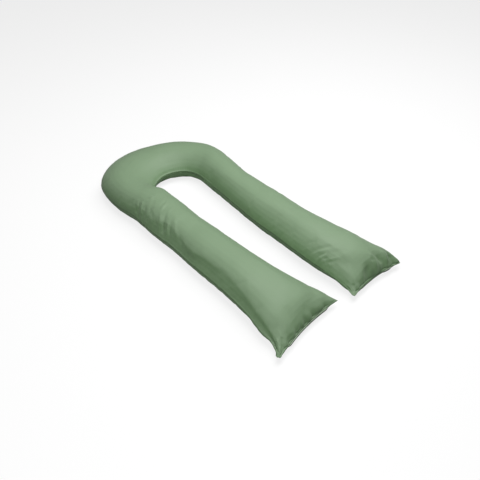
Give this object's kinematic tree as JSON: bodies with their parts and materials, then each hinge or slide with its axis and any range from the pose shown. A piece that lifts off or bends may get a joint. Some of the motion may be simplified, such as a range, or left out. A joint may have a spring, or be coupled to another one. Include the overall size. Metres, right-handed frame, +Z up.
{
  "type": "U-shaped body pillow",
  "caption": "Soft filled U-shaped body pillow in plain sage sateen, with long legs that flare towards square ends, each closed by a narrow folded welt.",
  "frame": {"origin": "middle of the pillow's outline on the surface that it lies on", "axes": "+Z up, +Y from the open ends of the legs towards the bend, +X across from the left leg to the right leg as seen from the ends"},
  "size_m": [0.7688, 1.4882, 0.155],
  "materials": {
    "cloth": "sage green cotton sateen, smooth with a soft sheen",
    "welt": "the same sateen, folded and pressed"
  },
  "bodies": {
    "root": {"pillow": "cloth", "end_welt_left": "welt", "end_welt_right": "welt"}
  },
  "joints": []
}
